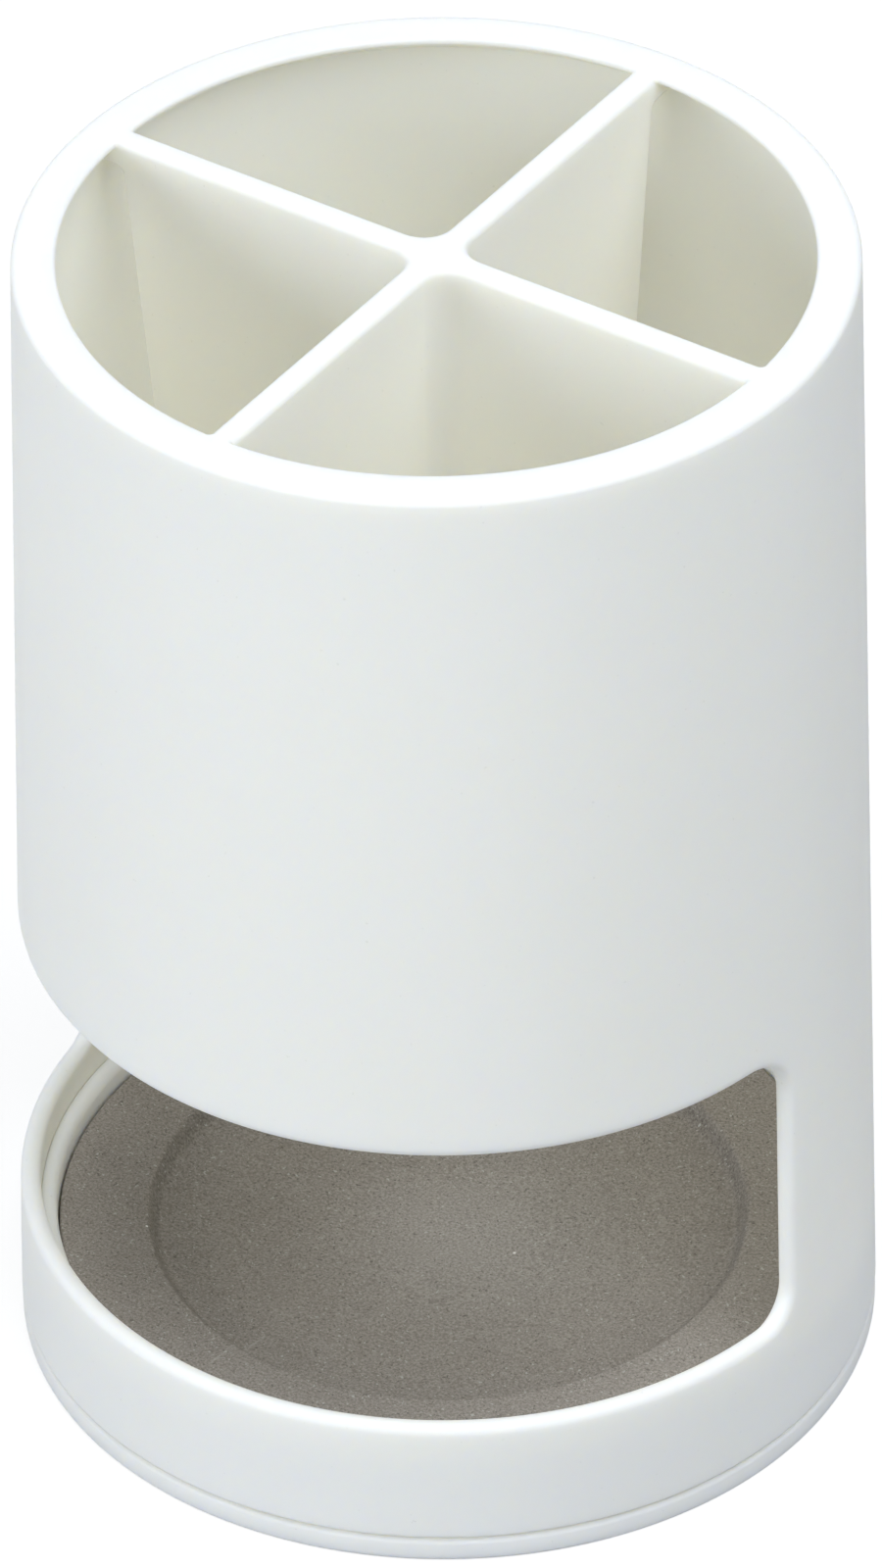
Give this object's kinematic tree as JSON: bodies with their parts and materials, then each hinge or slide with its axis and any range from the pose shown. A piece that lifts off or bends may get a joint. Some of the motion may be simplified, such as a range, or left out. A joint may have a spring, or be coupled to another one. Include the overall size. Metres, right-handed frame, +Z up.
{
  "type": "tool stand",
  "caption": "Round white bathroom tool stand: a divided tube with a wide window at its foot lifts off a shallow tray that holds an absorbent grey dish.",
  "frame": {"origin": "centre of the foot on the surface the stand rests on", "axes": "+Z up along the tube's axis; the window in the tube faces -Y; the divider's arms lie along X and Y"},
  "size_m": [0.09, 0.09, 0.133],
  "materials": {
    "white_plastic": "satin moulded white ABS",
    "grey_diatomite": "fine-grained matte pressed diatomite"
  },
  "bodies": {
    "tray": {"base_tray": "white_plastic"},
    "tube": {"body": "white_plastic"},
    "dish": {"diatomite_dish": "grey_diatomite"}
  },
  "joints": [
    {"name": "body_lift", "type": "slide", "parent": "tray", "child": "tube", "axis": [0, 0, 1], "range_m": [0, 0.04]},
    {"name": "dish_lift", "type": "slide", "parent": "tray", "child": "dish", "axis": [0, 0, 1], "range_m": [0, 0.014]}
  ]
}
